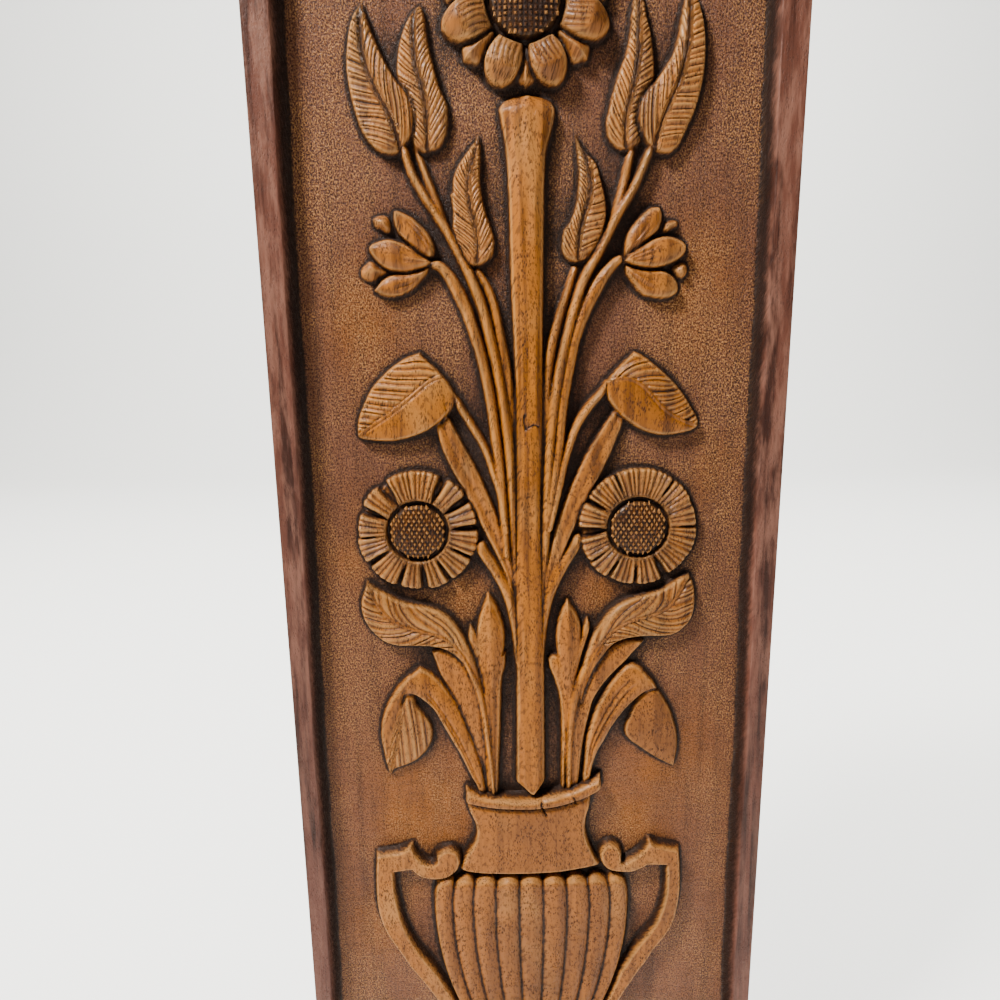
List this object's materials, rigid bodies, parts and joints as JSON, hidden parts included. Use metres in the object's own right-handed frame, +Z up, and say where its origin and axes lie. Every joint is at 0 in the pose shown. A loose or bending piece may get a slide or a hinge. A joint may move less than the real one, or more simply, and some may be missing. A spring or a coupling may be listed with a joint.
{
  "type": "wall plaque",
  "caption": "Tall narrow wooden wall plaque carved in relief with an urn of flowers and leaves inside a plain raised border.",
  "frame": {"origin": "middle of the flat back face, which lies against the wall", "axes": "+Z up along the plaque's length, +Y out of its back towards the wall, +X to the right seen from the front; the carving faces -Y"},
  "size_m": [0.2, 0.022, 0.6],
  "materials": {
    "carved_wood": "hardwood with a brown stain rubbed back on the raised carving, satin wax"
  },
  "bodies": {
    "root": {"carved_panel": "carved_wood"}
  },
  "joints": []
}
